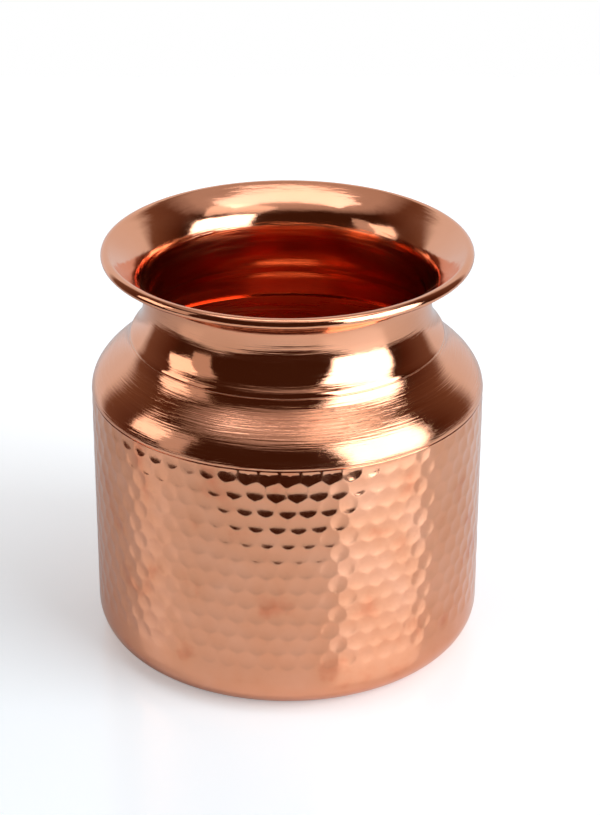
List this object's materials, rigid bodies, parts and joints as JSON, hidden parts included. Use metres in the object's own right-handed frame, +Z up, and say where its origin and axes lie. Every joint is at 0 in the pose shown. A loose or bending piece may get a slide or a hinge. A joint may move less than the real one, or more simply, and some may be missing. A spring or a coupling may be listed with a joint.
{
  "type": "lota",
  "caption": "Round water vessel of hammered copper with a straight wall, rounded shoulder, short waisted neck and flared mouth with a rolled rim.",
  "frame": {"origin": "centre of the foot, on the surface that the vessel stands on", "axes": "+Z up along the vessel's axis, from the foot to the mouth; the vessel is round, so X and Y are alike"},
  "size_m": [0.11, 0.1102, 0.1169],
  "materials": {
    "hammered_copper": "hammered, satin",
    "polished_copper": "polished, with fine turned rings",
    "copper_wire": "drawn",
    "braze": "filed and polished"
  },
  "bodies": {
    "root": {"hammered_body": "hammered_copper", "shoulder": "polished_copper", "neck_and_mouth": "polished_copper", "rim_wire": "copper_wire", "shoulder_braze": "braze", "neck_braze": "braze"}
  },
  "joints": []
}
